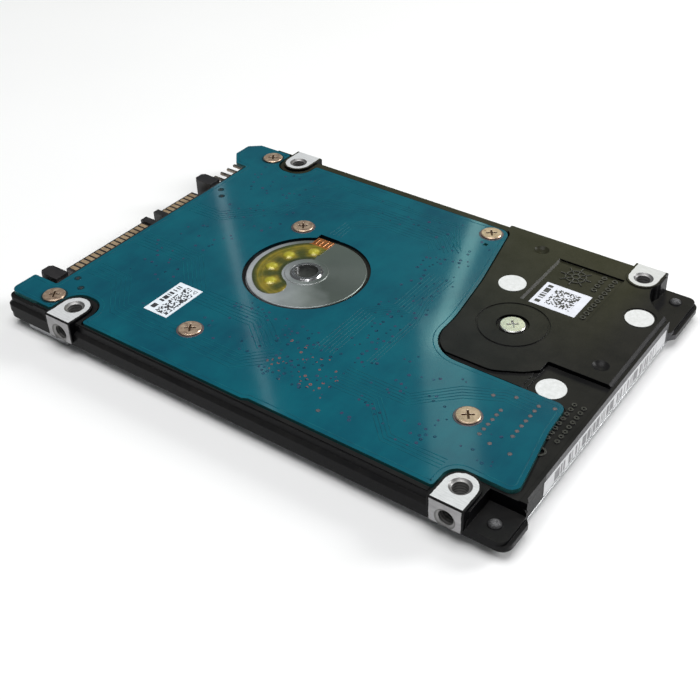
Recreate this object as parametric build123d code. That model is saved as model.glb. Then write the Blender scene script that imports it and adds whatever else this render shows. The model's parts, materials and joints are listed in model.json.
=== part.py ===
from build123d import *
from math import cos, radians, sin
import os

# Slim 2.5-inch laptop hard disk drive, lying on its cover with the circuit board up.
# Millimetres. +X runs from the connector end to the far end, +Y across, +Z up through the
# circuit board. The origin is the middle of the cover's outer face, which is what it rests on.

# ---------------------------------------------------------------- form factor
LENGTH = 100.2
WIDTH = 69.85
HEIGHT = 7.0
HALF_L = LENGTH / 2
HALF_W = WIDTH / 2

# Mounting screws, M3, from the small form factor standard.
HOLE_X = (-36.1, 40.5)
HOLE_Y = 30.86
TAP_R = 1.25
TAP_DEPTH = 3.0
SIDE_TAP_Z = HEIGHT - 3.0
SIDE_TAP_DEPTH = 2.6
COUNTERSINK_R = 1.75
COUNTERSINK_DEPTH = 0.35
BOSS_HALF = 3.0

# ---------------------------------------------------------------- levels of the casting
FLANGE_Z = 2.0
END_STEP_Z = 3.0
SHOULDER_Z = 4.9
END_TOP_Z = 6.2
RIM_Z = 6.4
PLATFORM_Z = 6.8
SHELF_Z = 6.0
CORNER_Z = 3.7
ROOF_Z = 4.2
BAY_ROOF_Z = 6.0
POCKET_Z = 4.9
BOARD_Z = 5.8
BOARD_T = 0.8
BOARD_TOP = BOARD_Z + BOARD_T
SIDE_Y = 34.35
UPPER_SIDE_Y = 33.75
END_X = 49.0
RECESS_Z = PLATFORM_Z - 0.4
RECESS_SLOPE = 0.4

# ---------------------------------------------------------------- cover
LABEL_T = 0.06
COVER_SKIN = 0.45
COVER_FLANGE_Z = 1.2
COVER_TOP_Z = 1.6
MIDDLE_SCREWS = {(21.3, 29.5): PLATFORM_Z, (21.3, -30.9): POCKET_Z}
CORNER_SCREWS = [(46.6, 31.6), (46.6, -31.6)]
COVER_SCREWS = [*CORNER_SCREWS, (-46.3, 31.0), (-46.3, -31.0), *MIDDLE_SCREWS]
SCREW_PAD_R = 2.1
SCREW_TIP_Z = 2.9
LIP_X = (-46.1, -36.5)
LIP_Z = 0.25

# ---------------------------------------------------------------- spindle
SPINDLE = (-10.2, 0.0)
DISC_R = 32.5
DISC_BORE_R = 10.0
DISC_Z = (1.9, 2.55)
CAVITY_R = 32.95
MOTOR_R = 11.2
MOTOR_Z = (5.5, 6.45)
MOTOR_STEP_Z = 5.9
MOTOR_FACE_R = 10.75
COLLAR_Z = 6.05
WINDOW_R = 11.45
SHAFT_R = 1.25
BEARING_GAP = 0.05
SLEEVE_R = 3.0
SLEEVE_TOP_Z = 6.8
POLES = 9

# ---------------------------------------------------------------- actuator
PIVOT = (28.0, 6.4)
PIVOT_SHAFT_R = 2.0
PARKED = 246.0
HEAD_REACH = 34.0
ARM_Z = ((1.0, 1.5), (2.95, 3.45))
BEAM_T = 0.1
SLIDER_T = 0.25
COIL_Z = (2.6, 3.8)
COIL_REACH = (10.0, 17.5)
COIL_HALF = 20.0
COIL_CENTRE = PARKED - 180.0
YOKE_REACH = (9.4, 18.6)
YOKE_SPAN = (6.0, 92.0)

# ---------------------------------------------------------------- circuit board
BOARD_SCREWS = [(-42.0, -30.1), (-15.8, -24.3), (-20.0, 11.7), (-42.0, 29.8), (10.8, 29.2), (33.6, -17.3)]
BOARD_SCREW_R = 2.0
CONTACT_PITCH = 1.27
POWER_Y = -19.8
SIGNAL_Y = 4.4
TONGUE_X = -49.8
TONGUE_Z = (2.9, 4.1)
HOUSING_X = (-45.7, -44.25)
JUMPER_Y = (19.6, 21.6, 23.6, 25.6)

BOARD_OUTLINE = [
    (-49.9, -33.0, 1.4), (-39.9, -33.0, 0.4), (-39.9, -26.9, 3.4), (-32.2, -26.9, 3.4), (-32.2, -33.0, 0.6),
    (2.6, -33.0, 0.6), (3.6, -32.5, 0.6), (36.9, -32.5, 0.5), (36.9, -27.3, 2.6), (47.6, -27.4, 1.6),
    (45.2, -13.5, 8.0), (44.8, -7.0, 1.6), (18.9, -7.0, 6.5), (18.8, 3.0, 25.0), (17.0, 15.0, 50.0),
    (13.3, 31.8, 2.2), (-32.2, 31.8, 0.5), (-32.2, 26.9, 3.4), (-39.9, 26.9, 3.4), (-39.9, 33.0, 0.4),
    (-47.7, 33.0, 0.5), (-49.9, 31.2, 0.5), (-49.9, 27.3, 0.5), (-47.3, 24.2, 0.5), (-44.4, 24.1, 0.4),
    (-44.4, -27.4, 0.4), (-49.9, -27.4, 0.4),
]
PLATFORM_OUTLINE = [
    (12.5, 33.75, 0.3), (48.4, 33.75, 0.3), (48.4, 0.9, 0.3), (40.2, 0.9, 1.0), (35.6, -3.6, 5.0),
    (31.0, -6.0, 5.0), (18.5, -6.0, 2.0),
]
ACTUATOR_OUTLINE = [
    (5.0, -32.6, 0.5), (36.2, -32.6, 0.8), (36.2, -26.6, 0.8), (47.6, -26.6, 1.0), (47.6, 21.0, 1.0),
    (43.0, 24.2, 1.0), (36.4, 26.5, 0.8), (36.4, 32.6, 0.8), (5.0, 32.6, 0.5),
]
BAY_OUTLINE = [
    (15.4, 32.6, 0.8), (18.8, 15.0, 6.0), (20.5, 3.0, 4.0), (20.6, -4.6, 3.0), (31.0, -4.6, 3.0),
    (38.5, 2.0, 2.0), (47.6, 2.0, 1.0), (47.6, 21.0, 1.0), (43.0, 24.2, 1.0), (36.4, 26.5, 0.8),
    (36.4, 32.6, 0.8),
]
COVER_OUTLINE = [
    (-48.4, -33.5, 1.5), (48.9, -33.5, 1.5), (48.9, 33.5, 1.5), (-48.4, 33.5, 1.5), (-48.4, 28.4, 0.5),
    (-44.0, 28.4, 0.5), (-44.0, -27.1, 0.5), (-48.4, -27.1, 0.5),
]
PAN_OUTLINE = [
    (-43.0, -30.6, 3.0), (47.4, -30.6, 3.0), (47.4, 30.6, 3.0), (-43.0, 30.6, 3.0),
]


# ---------------------------------------------------------------- helpers
def outline(points):
    """A face whose corners are (x, y, radius)."""
    corners = [(x, y) for x, y, r in points]
    radii = [r for x, y, r in points]
    return make_face(FilletPolyline(*corners, radius=radii, close=True))


def grown(points, amount):
    """The same corners with every side moved outwards, or inwards when negative."""
    count = len(points)
    following = points[1:] + points[:1]
    area = sum(a[0] * b[1] - b[0] * a[1] for a, b in zip(points, following))
    side = 1 if area > 0 else -1
    result = []
    for i in range(count):
        x, y, radius = points[i]
        before = (Vector(x, y) - Vector(*points[i - 1][:2])).normalized()
        after = (Vector(*following[i][:2]) - Vector(x, y)).normalized()
        turn = side if before.cross(after).Z > 0 else -side
        normals = [Vector(way.Y, -way.X) * side for way in (before, after)]
        shift = (normals[0] + normals[1]) * (amount / (1 + normals[0].dot(normals[1])))
        result.append((x + shift.X, y + shift.Y, max(radius + amount * turn, 0.15)))
    return result


def slab(face, low, high):
    """A flat face made into a solid between two levels."""
    return Pos(0, 0, low) * extrude(face, amount=high - low)


def block(x, y, z):
    """A box from its (low, high) span along each axis."""
    size = [span[1] - span[0] for span in (x, y, z)]
    return Pos(x[0], y[0], z[0]) * Box(*size, align=(Align.MIN, Align.MIN, Align.MIN))


def disc(centre, radius, low, high):
    """An upright cylinder between two levels."""
    return Pos(centre[0], centre[1], low) * Cylinder(radius, high - low, align=(Align.CENTER, Align.CENTER, Align.MIN))


def ring(centre, inner, outer, low, high):
    """An upright tube between two levels."""
    return disc(centre, outer, low, high) - disc(centre, inner, low, high)


def polar(reach, angle, centre=PIVOT):
    """A point at a distance and a direction from a centre."""
    return (centre[0] + reach * cos(radians(angle)), centre[1] + reach * sin(radians(angle)))


def sector(inner, outer, start, end, centre=PIVOT):
    """A flat piece of a ring between two directions."""
    middle = (start + end) / 2
    sketch = Polyline(polar(inner, start, centre), polar(outer, start, centre))
    sketch += ThreePointArc(polar(outer, start, centre), polar(outer, middle, centre), polar(outer, end, centre))
    sketch += Polyline(polar(outer, end, centre), polar(inner, end, centre))
    sketch += ThreePointArc(polar(inner, end, centre), polar(inner, middle, centre), polar(inner, start, centre))
    return make_face(sketch)


def along_arm(points):
    """Arm points (reach, side) as seen from the pivot along the parked arm."""
    turn = radians(PARKED)
    return [
        (PIVOT[0] + a * cos(turn) - b * sin(turn), PIVOT[1] + a * sin(turn) + b * cos(turn))
        for a, b in points
    ]


def arm_plate(points, low, high):
    """A flat plate drawn along the parked arm."""
    return slab(make_face(Polyline(*along_arm(points), close=True)), low, high)


def cross_recess(x, y, top, depth, reach=1.0, width=0.36):
    """The cross of a screwdriver recess."""
    bars = Box(2 * reach, width, depth * 2) + Box(width, 2 * reach, depth * 2)
    return Pos(x, y, top) * (Rot(0, 0, 35) * bars)


def gathered(pieces):
    """Separate solids kept apart in one node."""
    return Compound(children=[Solid(p.solids()[0].wrapped) for p in pieces])


BOARD = outline(BOARD_OUTLINE)
CAVITY = Pos(*SPINDLE) * Circle(CAVITY_R) + outline(ACTUATOR_OUTLINE)
COVER = outline(COVER_OUTLINE)
YOKE_POSTS = [polar(19.9, 40.0), polar(19.9, 84.0)]
RAMP_SCREW = polar(38.1, 248.0)
LATCH_PIN = (20.2, 21.4)

# Foil discs and the holes they close: x, y, face level, roof level of the space behind.
FOIL_R = 2.45
FOIL_SEALS = [
    (22.1, 16.9, PLATFORM_Z, BAY_ROOF_Z), (44.7, 19.7, PLATFORM_Z - 0.12, BAY_ROOF_Z),
    (40.7, -4.1, SHELF_Z, ROOF_Z),
]


# ---------------------------------------------------------------- casting and cover
def mounting_boss(x, side):
    """A machined boss with a vertical and a sideways M3 hole, seen from its own hole."""
    low = SIDE_TAP_Z - 1.5
    edge = side * HALF_W
    inner = side * HOLE_Y
    span = (min(edge, inner), max(edge, inner))
    boss = disc((x, inner), BOSS_HALF, low, HEIGHT)
    boss += block((x - BOSS_HALF, x + BOSS_HALF), span, (low, HEIGHT))
    lower_corners = boss.edges().filter_by(Axis.Y).group_by(Axis.Z)[0]
    boss = fillet(lower_corners, 1.1)
    top_edge = boss.edges().filter_by(Axis.X).sort_by(Axis.Z)[-1]
    return chamfer(top_edge, 0.28)


def tapped_hole(depth):
    """The shape of one countersunk M3 tap, running down from the origin."""
    profile = Polyline((0, 0), (COUNTERSINK_R, 0), (TAP_R, -COUNTERSINK_DEPTH), (TAP_R, -depth), (0, -depth),
                       close=True)
    return revolve(make_face(Plane.XZ * profile), Axis.Z)


def boss_holes(x, side):
    """What the two M3 taps of one boss take away."""
    cut = Pos(x, side * HOLE_Y, HEIGHT) * tapped_hole(TAP_DEPTH)
    return cut + Pos(x, side * HALF_W, SIDE_TAP_Z) * Rot(-90 * side, 0, 0) * tapped_hole(SIDE_TAP_DEPTH)


def base_casting():
    """The die-cast base: sealed disc well, actuator bay, board pocket and mounting bosses."""
    end_x = 49.5
    body = block((-HALF_L, HALF_L), (-SIDE_Y, SIDE_Y), (FLANGE_Z, END_STEP_Z))
    corner_edges = body.edges().filter_by(Axis.Z)
    body = fillet(corner_edges, 1.8)
    middle = block((-HALF_L, end_x), (-SIDE_Y, SIDE_Y), (END_STEP_Z, SHOULDER_Z))
    middle = fillet(middle.edges().filter_by(Axis.Z), 1.4)
    long_edges = middle.edges().filter_by(Axis.X).group_by(Axis.Z)[-1]
    body += chamfer(long_edges, 0.55)
    upper = block((-HALF_L + 0.2, end_x), (-UPPER_SIDE_Y, UPPER_SIDE_Y), (SHOULDER_Z, END_TOP_Z))
    body += fillet(upper.edges().filter_by(Axis.Z), 1.2)
    rim = block((-43.5, END_X - 0.8), (-UPPER_SIDE_Y + 0.15, UPPER_SIDE_Y - 0.15), (END_TOP_Z, RIM_Z))
    rim -= block((36.8, 60.0), (-40.0, 0.9), (END_TOP_Z, RIM_Z))
    body += rim
    platform = slab(outline(PLATFORM_OUTLINE), END_TOP_Z, PLATFORM_Z)
    body += platform - Pos(48.4, 0, PLATFORM_Z) * Rot(0, 45, 0) * Box(0.65, WIDTH, 0.65)
    # The end face sits back between the two corners.
    setback = [(END_X, -27.0, 0.5), (51.0, -29.6, 0.5), (60.0, -29.6, 0.5), (60.0, 25.0, 0.5), (51.0, 25.0, 0.5),
               (END_X, 22.4, 0.5)]
    body -= slab(outline(setback), 0.0, HEIGHT)
    # The shelf beside the board and the two lowered screw corners.
    body -= slab(outline([(37.5, -28.0, 0.3), (48.4, -28.0, 0.3), (48.4, 0.9, 0.3), (37.5, 0.9, 0.3)]),
                 SHELF_Z, HEIGHT)
    body -= block((43.7, 60.0), (-40.0, -28.0), (CORNER_Z, HEIGHT))
    far_corner = Polyline((43.7, 40.0), (43.7, 31.2), (42.9, 28.8))
    far_corner += ThreePointArc((42.9, 28.8), (44.6, 24.9), (48.2, 22.4))
    far_corner += Polyline((48.2, 22.4), (60.0, 22.4), (60.0, 40.0), (43.7, 40.0))
    body -= slab(make_face(far_corner), CORNER_Z, HEIGHT)
    for x, y in CORNER_SCREWS:
        body += Pos(x, y, CORNER_Z - 0.6) * Sphere(1.25)
    # Pocket for the board, then the deeper space for what is soldered under it.
    body -= slab(outline(grown(BOARD_OUTLINE, 0.35)), BOARD_Z, HEIGHT)
    body -= block((-60.0, -43.5), (-40.0, 40.0), (BOARD_Z, HEIGHT))
    deep = slab(outline(grown(BOARD_OUTLINE, -1.3)), POCKET_Z, BOARD_Z)
    deep -= block((-60.0, -43.2), (-40.0, 40.0), (POCKET_Z, BOARD_Z))
    deep -= disc(SPINDLE, MOTOR_R + 1.4, POCKET_Z, BOARD_Z)
    for x, y in BOARD_SCREWS:
        deep -= disc((x, y), BOARD_SCREW_R + 0.3, POCKET_Z, BOARD_Z)
    for x in HOLE_X:
        for side in (-1, 1):
            deep -= disc((x, side * HOLE_Y), 4.6, POCKET_Z, BOARD_Z)
    body -= deep
    body += disc(SPINDLE, WINDOW_R + 0.1, BOARD_Z, COLLAR_Z)
    for x in HOLE_X:
        for side in (-1, 1):
            body += mounting_boss(x, side)
    # Sealed spaces, cut from the cover side.
    body -= slab(CAVITY, FLANGE_Z, ROOF_Z)
    body -= slab(outline(BAY_OUTLINE), ROOF_Z, BAY_ROOF_Z)
    for spot, top in MIDDLE_SCREWS.items():
        body += disc(spot, SCREW_PAD_R, COVER_TOP_Z, top)
    for x, y in COVER_SCREWS:
        body += disc((x, y), SCREW_PAD_R, COVER_TOP_Z, FLANGE_Z)
        body -= disc((x, y), 0.72, COVER_TOP_Z, SCREW_TIP_Z + 0.1)
    # Room for the connector, the motor, the pivot screw, the taps and the board screws.
    body -= block((-60.0, -44.2), (-26.9, 28.2), (0.0, HEIGHT))
    body -= disc(SPINDLE, MOTOR_R, ROOF_Z - 0.1, MOTOR_STEP_Z)
    body -= disc(SPINDLE, MOTOR_FACE_R + 0.1, MOTOR_STEP_Z, HEIGHT)
    for x in HOLE_X:
        for side in (-1, 1):
            body -= boss_holes(x, side)
    for x, y in BOARD_SCREWS:
        body -= disc((x, y), 0.82, 4.55, BOARD_Z)
    body -= disc(PIVOT, 2.8, 6.3, HEIGHT)
    body -= disc(PIVOT, 1.05, BAY_ROOF_Z, HEIGHT)
    body -= ring(PIVOT, 5.85, 6.25, PLATFORM_Z - 0.15, HEIGHT)
    # Marking recess, dimples and the holes that the foil discs close.
    body -= block((25.7, 38.0), (13.7, 28.6), (RECESS_Z, HEIGHT))
    side = RECESS_SLOPE * 2 ** 0.5
    body -= Pos(25.7, 21.15, PLATFORM_Z) * Rot(0, 45, 0) * Box(side, 14.9, side)
    for x, y in ((21.3, 29.3), (44.9, 4.5)):
        body -= Pos(x, y, PLATFORM_Z + 1.33) * Sphere(1.93)
    for x, y, level, roof in FOIL_SEALS:
        body -= disc((x, y), 0.9, roof, HEIGHT)
    body -= disc((44.7, 19.7), FOIL_R + 0.4, PLATFORM_Z - 0.12, HEIGHT)
    body -= disc((45.9, -17.6), 0.7, SHELF_Z - 0.5, HEIGHT)
    return body


def top_cover():
    """The stamped cover: a pan that carries the wear face, inside a recessed flange."""
    pan = slab(outline(PAN_OUTLINE), LABEL_T, COVER_TOP_Z)
    hollow = slab(outline(grown(PAN_OUTLINE, -COVER_SKIN)), LABEL_T + COVER_SKIN, COVER_TOP_Z)
    for x, y in COVER_SCREWS:
        pan -= disc((x, y), 3.0, LABEL_T, COVER_TOP_Z)
        hollow -= disc((x, y), 3.0 + COVER_SKIN, LABEL_T, COVER_TOP_Z)
    cover = slab(COVER, COVER_FLANGE_Z, COVER_TOP_Z) + pan - hollow
    for side in (-33.275, 33.275):
        cover += block(LIP_X, (side - COVER_SKIN / 2, side + COVER_SKIN / 2), (LIP_Z, COVER_TOP_Z))
    cover -= ring(SPINDLE, 12.0, 12.8, LABEL_T, LABEL_T + 0.12)
    cover -= ring(PIVOT, 4.4, 5.0, LABEL_T, LABEL_T + 0.12)
    for x, y in COVER_SCREWS:
        cover -= disc((x, y), 0.9, COVER_FLANGE_Z, COVER_TOP_Z)
    return cover


def cover_gasket():
    """The formed seal between the cover and the casting."""
    gasket = slab(Pos(*SPINDLE) * Circle(CAVITY_R + 1.4), COVER_TOP_Z, FLANGE_Z)
    gasket += slab(outline(grown(ACTUATOR_OUTLINE, 0.9)), COVER_TOP_Z, FLANGE_Z)
    gasket &= slab(outline(grown(COVER_OUTLINE, -0.05)), COVER_TOP_Z, FLANGE_Z)
    gasket -= slab(CAVITY, COVER_TOP_Z, FLANGE_Z)
    for x, y in COVER_SCREWS:
        gasket -= disc((x, y), SCREW_PAD_R + 0.1, COVER_TOP_Z, FLANGE_Z)
    return gasket


def cover_screw(x, y):
    """One flat screw that holds the cover."""
    screw = disc((x, y), 1.7, 0.65, COVER_FLANGE_Z) + disc((x, y), 0.7, COVER_FLANGE_Z, SCREW_TIP_Z)
    return screw - cross_recess(x, y, 0.65, 0.3)


def cover_label():
    """The plain information label, its corner cut."""
    corners = [(-38.0, -26.0, 1.0), (14.0, -26.0, 1.0), (14.0, 26.0, 1.0), (-38.0, 26.0, 1.0)]
    return slab(outline(corners), 0.0, LABEL_T)


# ---------------------------------------------------------------- circuit board and connector
def circuit_board():
    """The board, with its window for the motor and its screw holes."""
    board = slab(BOARD, BOARD_Z, BOARD_TOP)
    board -= disc(SPINDLE, WINDOW_R, BOARD_Z, BOARD_TOP)
    board -= block((-15.6, -11.3), (8.0, 11.5), (BOARD_Z, BOARD_TOP))
    board -= block((11.3, 12.1), (25.1, 25.9), (BOARD_Z, BOARD_TOP))
    for x, y in BOARD_SCREWS:
        board -= disc((x, y), 1.0, BOARD_Z, BOARD_TOP)
    return board


def chip(x, y, width, depth, height):
    """One package soldered under the board."""
    return block((x - width / 2, x + width / 2), (y - depth / 2, y + depth / 2), (BOARD_Z - height, BOARD_Z))


def board_passives():
    """Capacitors, resistors and a crystal under the board."""
    pieces = [chip(18.0 + 1.6 * i, -11.6, 1.0, 0.6, 0.5) for i in range(6)]
    pieces += [chip(-2.0, -19.0 - 1.5 * i, 1.0, 0.6, 0.5) for i in range(5)]
    pieces += [chip(-36.0 + 1.6 * i, 19.0, 1.0, 0.6, 0.5) for i in range(7)]
    pieces += [chip(-38.5, -18.0 + 3.2 * i, 2.0, 1.25, 0.8) for i in range(6)]
    pieces += [chip(-25.0, -7.0, 3.2, 2.5, 0.75), chip(22.0, -27.0, 2.0, 1.6, 0.6)]
    return gathered(pieces)


def board_screw(x, y):
    """One flat-headed board screw."""
    screw = disc((x, y), BOARD_SCREW_R, BOARD_TOP, 6.95)
    screw = chamfer(screw.edges().group_by(Axis.Z)[-1], 0.16)
    screw += disc((x, y), 0.8, 4.6, BOARD_TOP)
    return screw - cross_recess(x, y, 6.95, 0.25)


def connector_housing():
    """The plug body: two tongues with their keys, end posts and the jumper block."""
    low, high = TONGUE_Z
    front, back = HOUSING_X
    body = block((front, back), (-26.4, 27.7), (2.4, BOARD_Z))
    power_end = POWER_Y + 14 * CONTACT_PITCH
    signal_end = SIGNAL_Y + 6 * CONTACT_PITCH
    body += block((TONGUE_X, front), (POWER_Y - 1.0, power_end + 0.8), (low, high))
    body += block((TONGUE_X, front), (SIGNAL_Y - 0.8, signal_end + 1.0), (low, high))
    for inner, outer in ((power_end + 0.8, power_end + 2.3), (SIGNAL_Y - 2.1, SIGNAL_Y - 0.8)):
        body += block((-50.1, front), (inner, outer), (low - 0.5, high + 0.5))
    for start, end in ((-26.4, -23.6), (14.3, 17.1)):
        post = block((-HALF_L, front), (start, end), (2.4, 6.5))
        body += chamfer(post.edges().filter_by(Axis.Z).group_by(Axis.X)[0], 0.6)
    body += block((-48.6, front), (26.6, 27.7), (2.6, BOARD_Z))
    for y in JUMPER_Y:
        body -= block((front, back), (y - 0.25, y + 0.25), (4.35, 4.85))
    return body


def contacts(first, count):
    """Flat gold contacts along a tongue."""
    front = HOUSING_X[0]
    top = TONGUE_Z[1]
    rows = [first + CONTACT_PITCH * i for i in range(count)]
    return gathered([block((TONGUE_X + 0.3, front), (y - 0.42, y + 0.42), (top, top + 0.06)) for y in rows])


def jumper_pins():
    """Square pins, 2 mm apart."""
    back = HOUSING_X[1]
    return gathered([block((-49.4, back), (y - 0.25, y + 0.25), (4.35, 4.85)) for y in JUMPER_Y])


def foil_seal(x, y, level):
    """One round foil disc."""
    return disc((x, y), FOIL_R, level, level + 0.08)


def pivot_screw():
    """The screw that clamps the actuator's shaft to the casting."""
    screw = disc(PIVOT, 2.2, 6.3, 6.85)
    screw = chamfer(screw.edges().group_by(Axis.Z)[-1], 0.15)
    screw += disc(PIVOT, 1.0, 3.8, 6.3)
    return screw - cross_recess(PIVOT[0], PIVOT[1], 6.85, 0.35)


# ---------------------------------------------------------------- spindle motor
def motor_plate():
    """The round motor mount that closes the casting and holds the bearing."""
    plate = disc(SPINDLE, MOTOR_R, MOTOR_Z[0], MOTOR_STEP_Z)
    face = disc(SPINDLE, MOTOR_FACE_R, MOTOR_STEP_Z, MOTOR_Z[1])
    plate += chamfer(face.edges().group_by(Axis.Z)[-1], 0.12)
    plate += ring(SPINDLE, SLEEVE_R, 3.7, 2.95, MOTOR_Z[0])
    crown = disc(SPINDLE, 3.95, MOTOR_Z[1], MOTOR_Z[1] + 0.12)
    plate += chamfer(crown.edges().group_by(Axis.Z)[-1], 0.08)
    return plate - disc(SPINDLE, SLEEVE_R, 2.0, HEIGHT)


def motor_flex():
    """The flexible circuit glued on the motor plate, with its solder bumps."""
    low = MOTOR_Z[1]
    high = low + 0.08
    flex = slab(sector(4.45, 9.7, 108.0, 248.0, SPINDLE), low, high)
    flex += disc(polar(7.05, 248.0, SPINDLE), 2.6, low, high)
    flex += slab(outline([(-15.3, 6.0, 0.2), (-15.3, 10.4, 0.2), (-11.6, 10.4, 0.2), (-11.6, 5.2, 0.6)]), low, high)
    for angle in (116.0, 156.0, 196.0, 236.0):
        x, y = polar(6.7, angle, SPINDLE)
        flex += (Pos(x, y, high - 2.05) * Sphere(2.4)) & disc((x, y), 1.3, high - 0.04, HEIGHT)
    return flex - disc(SPINDLE, 4.15, low, HEIGHT)


def stator_core():
    """Laminated ring with nine teeth."""
    core = ring(SPINDLE, 3.7, 4.7, 3.4, 4.4)
    for i in range(POLES):
        tooth = block((4.5, 7.7), (-0.45, 0.45), (3.4, 4.4))
        tooth += slab(sector(7.6, 8.5, -15.0, 15.0, (0, 0)), 3.4, 4.4)
        core += Pos(SPINDLE[0], SPINDLE[1], 0) * Rot(0, 0, i * 360 / POLES) * tooth
    return core


def stator_coil(index):
    """One winding round a tooth."""
    winding = block((5.0, 7.5), (-0.95, 0.95), (2.95, 4.85)) - block((5.0, 7.5), (-0.45, 0.45), (3.4, 4.4))
    winding &= slab(sector(4.75, 7.6, -17.0, 17.0, (0, 0)), 2.0, 6.0)
    return Pos(SPINDLE[0], SPINDLE[1], 0) * Rot(0, 0, index * 360 / POLES) * winding


def spindle_hub():
    """The cup that carries the disc and the rotor magnet."""
    hub = disc(SPINDLE, DISC_BORE_R - 0.03, 1.3, DISC_Z[1])
    hub += disc(SPINDLE, 12.2, DISC_Z[1], 3.3)
    hub += disc(SPINDLE, 10.8, 3.3, 4.7)
    hub -= disc(SPINDLE, 9.0, 2.05, 5.0)
    hub -= disc(SPINDLE, 9.9, 2.9, 5.0)
    return hub - disc(SPINDLE, SHAFT_R, 1.0, 5.0)


def spindle_shaft():
    """The shaft, tapped for the clamp screw."""
    return disc(SPINDLE, SHAFT_R, 1.3, 5.6) - disc(SPINDLE, 0.6, 1.3, 3.0)


def disc_clamp():
    """The sprung plate that presses the disc on the hub."""
    clamp = disc(SPINDLE, 11.8, 1.0, DISC_Z[0]) - disc(SPINDLE, 10.1, 1.3, DISC_Z[0])
    clamp -= disc(SPINDLE, 0.65, 1.0, 1.3)
    for i in range(6):
        clamp -= disc(polar(6.6, i * 60, SPINDLE), 1.0, 1.0, 1.3)
    return clamp


def clamp_screw():
    """The middle screw of the clamp."""
    screw = disc(SPINDLE, 2.2, 0.7, 1.0) + disc(SPINDLE, 0.6, 1.0, 2.9)
    return screw - cross_recess(SPINDLE[0], SPINDLE[1], 0.7, 0.2)


def bearing_sleeve():
    """The fluid bearing's sleeve, open for the thrust plate."""
    sleeve = disc(SPINDLE, SLEEVE_R, 2.35, SLEEVE_TOP_Z)
    sleeve = chamfer(sleeve.edges().group_by(Axis.Z)[-1], 0.3)
    sleeve -= disc(SPINDLE, SHAFT_R + BEARING_GAP, 2.35, SLEEVE_TOP_Z)
    return sleeve - disc(SPINDLE, 2.1, 5.7, SLEEVE_TOP_Z)


# ---------------------------------------------------------------- actuator
def head_arms():
    """The arm block: a barrel on the pivot and one arm on each side of the disc."""
    barrel = ring(PIVOT, 3.7, 5.0, 0.9, 5.6)
    bore = disc(PIVOT, 4.4, 0.5, 6.0)
    for low, high in ARM_Z:
        plate = arm_plate([(2.0, -4.2), (12.0, -2.9), (23.5, -1.7), (23.5, 1.7), (12.0, 2.9), (2.0, 4.2)], low, high)
        window = arm_plate([(8.5, -1.8), (16.0, -1.1), (16.0, 1.1), (8.5, 1.8)], low, high)
        barrel += plate - window - bore
    return barrel


def load_beam(low):
    """One sprung steel beam with its lift tab."""
    points = [(19.5, -1.6), (24.0, -1.6), (26.0, -1.3), (33.8, -0.45), (34.6, -0.2), (36.0, -0.2),
              (36.0, 0.2), (34.6, 0.2), (33.8, 0.45), (26.0, 1.3), (24.0, 1.6), (19.5, 1.6)]
    return arm_plate(points, low, low + BEAM_T)


def head_slider(low):
    """One read and write head on its slider."""
    points = [(HEAD_REACH - 0.62, -0.5), (HEAD_REACH + 0.62, -0.5), (HEAD_REACH + 0.62, 0.5), (HEAD_REACH - 0.62, 0.5)]
    return arm_plate(points, low, low + SLIDER_T)


def voice_coil():
    """The flat wound coil between the magnets."""
    inner, outer = COIL_REACH
    winding = slab(sector(inner, outer, COIL_CENTRE - COIL_HALF, COIL_CENTRE + COIL_HALF), *COIL_Z)
    hollow = slab(sector(inner + 1.9, outer - 1.9, COIL_CENTRE - 10.5, COIL_CENTRE + 10.5), *COIL_Z)
    return fillet(winding.edges().filter_by(Axis.Z), 1.0) - hollow


def coil_frame():
    """The plastic fork that holds the coil on the barrel."""
    frame = slab(sector(5.0, COIL_REACH[1], COIL_CENTRE - 24.0, COIL_CENTRE + 24.0), *COIL_Z)
    gap = sector(COIL_REACH[0], COIL_REACH[1] + 1.0, COIL_CENTRE - COIL_HALF, COIL_CENTRE + COIL_HALF)
    coil = slab(gap, *COIL_Z)
    return frame - fillet(coil.edges().filter_by(Axis.Z), 1.0)


def yoke(low, high):
    """One steel plate behind a magnet, with lugs for the posts."""
    plate = slab(sector(YOKE_REACH[0], YOKE_REACH[1], *YOKE_SPAN), low, high)
    plate += disc(YOKE_POSTS[0], 1.9, low, high)
    plate += disc(YOKE_POSTS[1], 1.9, low, high)
    return plate


def magnet(low, high):
    """One arc magnet."""
    return slab(sector(10.4, 17.6, 12.0, 88.0), low, high)


def arm_flex():
    """The flexible circuit along the side of the arm block."""
    return arm_plate([(2.7, 4.25), (7.4, 3.6), (7.4, 3.72), (2.7, 4.37)], 1.6, 2.9)


def preamp_chip():
    """The head amplifier on the arm's flexible circuit."""
    return arm_plate([(3.6, 4.3), (6.2, 3.94), (6.3, 4.5), (3.7, 4.86)], 1.7, 2.8)


def flex_loop():
    """The free loop of flexible circuit beside the arm block."""
    centre = (35.6, -2.8)
    loop = slab(sector(4.6, 4.75, 100.0, 268.0, centre), 1.6, 3.4)
    return loop


def flex_bracket():
    """The metal bracket that anchors the flexible circuit."""
    bracket = block((32.0, 40.0), (-13.4, -8.2), (3.2, 3.6))
    bracket += block((35.0, 40.0), (-8.2, -7.65), (1.6, 3.6))
    return bracket


def parking_ramp():
    """The plastic ramp the lift tabs climb when the heads are parked."""
    tongue = slab(sector(34.9, 36.4, 239.0, 250.5), 1.65, 2.8)
    slot = disc(SPINDLE, DISC_R + 0.35, DISC_Z[0] - 0.15, DISC_Z[1] + 0.15)
    foot = slab(sector(36.4, 39.6, 243.0, 251.5), 1.65, ROOF_Z)
    ramp = tongue + foot - slot - disc(RAMP_SCREW, 0.8, 1.0, ROOF_Z)
    return ramp


def ramp_screw():
    """The screw through the ramp's foot."""
    return disc(RAMP_SCREW, 1.2, 1.25, 1.65) + disc(RAMP_SCREW, 0.78, 1.65, ROOF_Z)


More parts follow.
